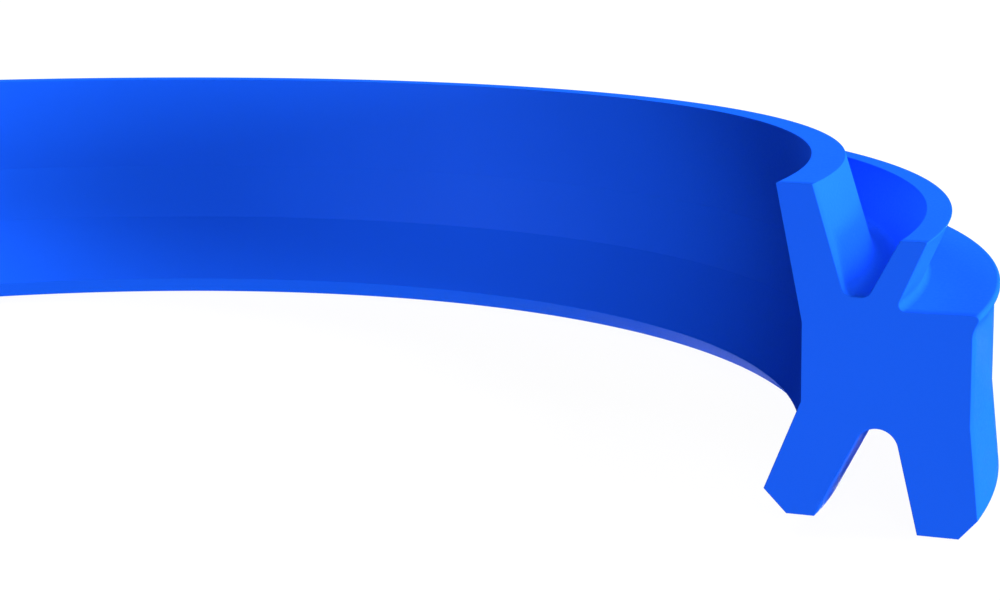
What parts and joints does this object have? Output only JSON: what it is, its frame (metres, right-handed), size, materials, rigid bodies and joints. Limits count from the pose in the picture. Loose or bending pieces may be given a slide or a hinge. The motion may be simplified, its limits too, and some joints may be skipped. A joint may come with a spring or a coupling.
{
  "type": "wiper seal",
  "caption": "Moulded polyurethane rod wiper ring with a tall wiper lip, a guard lip and flared seal lips, cut open to show its lipped section.",
  "frame": {"origin": "on the ring's axis, in the plane of the static lip's foot", "axes": "+Z along the ring's axis towards the wiper lip, with the cut-out facing -Y"},
  "size_m": [0.0606, 0.0517, 0.0093],
  "materials": {
    "polyurethane": "satin"
  },
  "bodies": {
    "root": {"wiper_seal": "polyurethane"}
  },
  "joints": []
}
